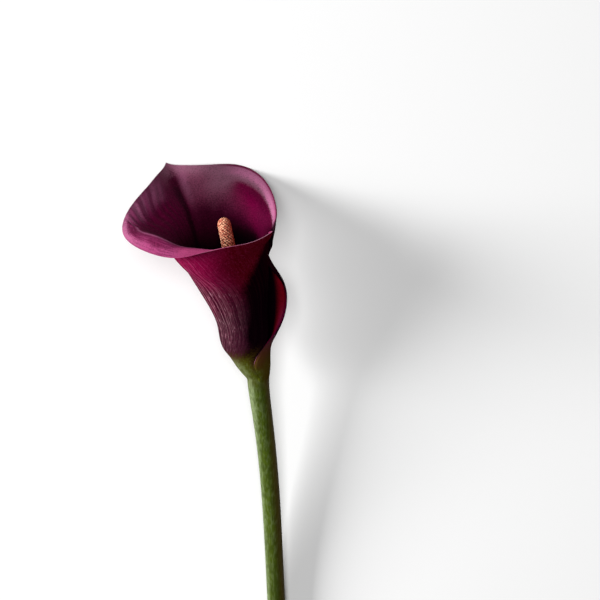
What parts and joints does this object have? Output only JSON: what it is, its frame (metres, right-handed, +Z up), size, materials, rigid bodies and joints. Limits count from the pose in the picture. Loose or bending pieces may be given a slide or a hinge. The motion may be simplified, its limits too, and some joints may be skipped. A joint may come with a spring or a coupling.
{
  "type": "calla lily flower",
  "caption": "Cut calla lily flower lying on its back: a rolled trumpet-shaped spathe with a turned-over lip and a pointed tip round a bumpy spadix, on a smooth round stem.",
  "frame": {"origin": "under the middle of the whole flower, on the surface it lies on", "axes": "+Z up; +Y along the stem from its cut end to the mouth of the spathe; +X to the right as seen from above with the mouth at the top"},
  "size_m": [0.0826, 0.3, 0.0668],
  "materials": {
    "spathe": "waxy sheen, deep purple with magenta on the lip",
    "spadix": "matt, finely bumpy, salmon to tan",
    "stem": "waxy sheen, green, smooth"
  },
  "bodies": {
    "root": {"spathe": "spathe", "spadix": "spadix", "stem": "stem"}
  },
  "joints": []
}
